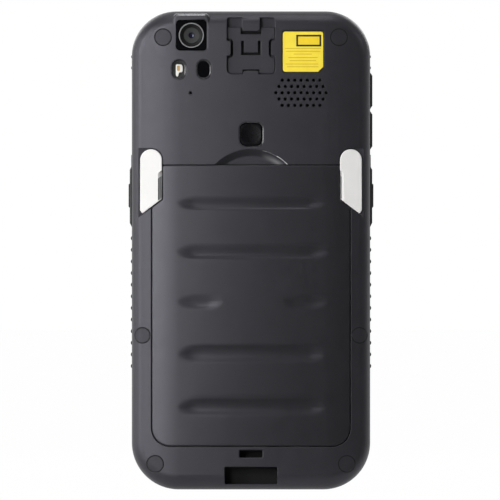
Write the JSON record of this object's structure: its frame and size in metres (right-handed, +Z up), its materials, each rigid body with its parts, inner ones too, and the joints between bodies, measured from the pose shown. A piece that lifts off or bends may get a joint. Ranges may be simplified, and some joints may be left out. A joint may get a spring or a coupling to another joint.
{
  "type": "portable barcode data terminal",
  "caption": "Rugged handheld barcode terminal with a crowned back, tilting battery cover, swinging side locks, rear camera, strap anchors and ribbed grips.",
  "frame": {"origin": "middle of the lower end, halfway through the thickness", "axes": "+Z up the length with the terminal standing on its lower end, +Y out of the screen, -Y out of the back, X across"},
  "size_m": [0.0822, 0.018, 0.1604],
  "materials": {
    "shell": "fine spark-eroded charcoal moulding",
    "cover_shell": "fine spark-eroded charcoal moulding",
    "frame_shell": "satin black moulding",
    "lever_white": "satin off-white moulding",
    "soft_rubber": "matt overmoulded rubber",
    "key_satin": "satin black keycap",
    "key_gloss": "polished black keycap",
    "display_glass": "polished black cover glass, opaque",
    "lens_black": "polished black window",
    "lens_clear": "frosted clear window",
    "trim_metal": "turned, satin",
    "label_yellow": "printed film, satin",
    "phosphor": "phosphor dome",
    "chassis_metal": "die-cast, as cast",
    "steel": "drawn sheet",
    "zinc_screw": "black zinc",
    "contact_gold": "gold flash",
    "board_green": "solder mask",
    "module_black": "moulded housing",
    "pack_grey": "shrink film over cells",
    "seal_black": "moulded seal",
    "mesh_black": "woven acoustic mesh",
    "panel_black": "polarised panel"
  },
  "bodies": {
    "terminal": {"rear_housing": "shell", "front_frame": "frame_shell", "cover_glass": "display_glass", "display_module": "panel_black", "chassis_plate": "chassis_metal", "battery_connector": "module_black", "battery_seal": "seal_black", "key_switches_right": "module_black", "key_switches_left": "module_black", "swap_switch": "module_black", "power_switch": "module_black", "grip_right": "soft_rubber", "grip_left": "soft_rubber", "main_board": "board_green", "processor_shield": "steel", "radio_shield": "steel", "camera_window": "lens_black", "camera_ring": "trim_metal", "camera_lens": "lens_black", "camera_module": "module_black", "flash_window": "lens_black", "flash_emitter": "phosphor", "distance_window": "lens_black", "sensor_bracket": "module_black", "strap_socket_plate": "shell", "rear_label": "label_yellow", "speaker": "module_black", "speaker_mesh": "mesh_black", "microphone": "module_black", "earpiece": "module_black", "front_camera": "module_black", "status_light": "lens_clear", "vibration_motor": "steel", "scan_engine": "module_black", "scan_window": "lens_black", "usb_connector": "steel", "dock_contacts": "contact_gold", "io_board": "board_green", "screw_caps": "soft_rubber", "case_screws": "zinc_screw"},
    "battery": {"battery_cover": "cover_shell", "battery_pack": "pack_grey", "battery_terminals": "contact_gold"},
    "latch_left": {"latch_lever_left": "lever_white", "latch_clip_left": "steel"},
    "latch_right": {"latch_lever_right": "lever_white", "latch_clip_right": "steel"},
    "scan_button_left": {"scan_key_left": "key_satin", "scan_pad_left": "soft_rubber"},
    "scan_button_right": {"scan_key_right": "key_satin", "scan_pad_right": "soft_rubber"},
    "volume_up": {"volume_up_key": "key_satin"},
    "volume_down": {"volume_down_key": "key_satin"},
    "power_button": {"power_key": "key_satin"},
    "swap_button": {"swap_key": "key_gloss"}
  },
  "joints": [
    {"name": "battery_tilt", "type": "hinge", "parent": "terminal", "child": "battery", "pos_m": [0, -0.0089, 0.01465], "axis": [1, 0, 0], "range_deg": [0, 35]},
    {"name": "latch_left_swing", "type": "hinge", "parent": "terminal", "child": "latch_left", "pos_m": [-0.0335, -0.0046, 0.1105], "axis": [0, 1, 0], "range_deg": [0, 90]},
    {"name": "latch_right_swing", "type": "hinge", "parent": "terminal", "child": "latch_right", "pos_m": [0.0335, -0.0046, 0.1105], "axis": [0, -1, 0], "range_deg": [0, 90]},
    {"name": "scan_press_left", "type": "slide", "parent": "terminal", "child": "scan_button_left", "axis": [1, 0, 0], "range_m": [0, 0.0005], "stiffness_N_per_m": 1200, "springref_m": -0.001},
    {"name": "scan_press_right", "type": "slide", "parent": "terminal", "child": "scan_button_right", "axis": [-1, 0, 0], "range_m": [0, 0.0005], "stiffness_N_per_m": 1200, "springref_m": -0.001},
    {"name": "volume_up_press", "type": "slide", "parent": "terminal", "child": "volume_up", "axis": [-1, 0, 0], "range_m": [0, 0.0005], "stiffness_N_per_m": 1200, "springref_m": -0.001},
    {"name": "volume_down_press", "type": "slide", "parent": "terminal", "child": "volume_down", "axis": [-1, 0, 0], "range_m": [0, 0.0005], "stiffness_N_per_m": 1200, "springref_m": -0.001},
    {"name": "power_press", "type": "slide", "parent": "terminal", "child": "power_button", "axis": [0, 0, -1], "range_m": [0, 0.0004], "stiffness_N_per_m": 1200, "springref_m": -0.001},
    {"name": "swap_press", "type": "slide", "parent": "terminal", "child": "swap_button", "axis": [0, 1, 0], "range_m": [0, 0.0004], "stiffness_N_per_m": 1200, "springref_m": -0.001}
  ]
}
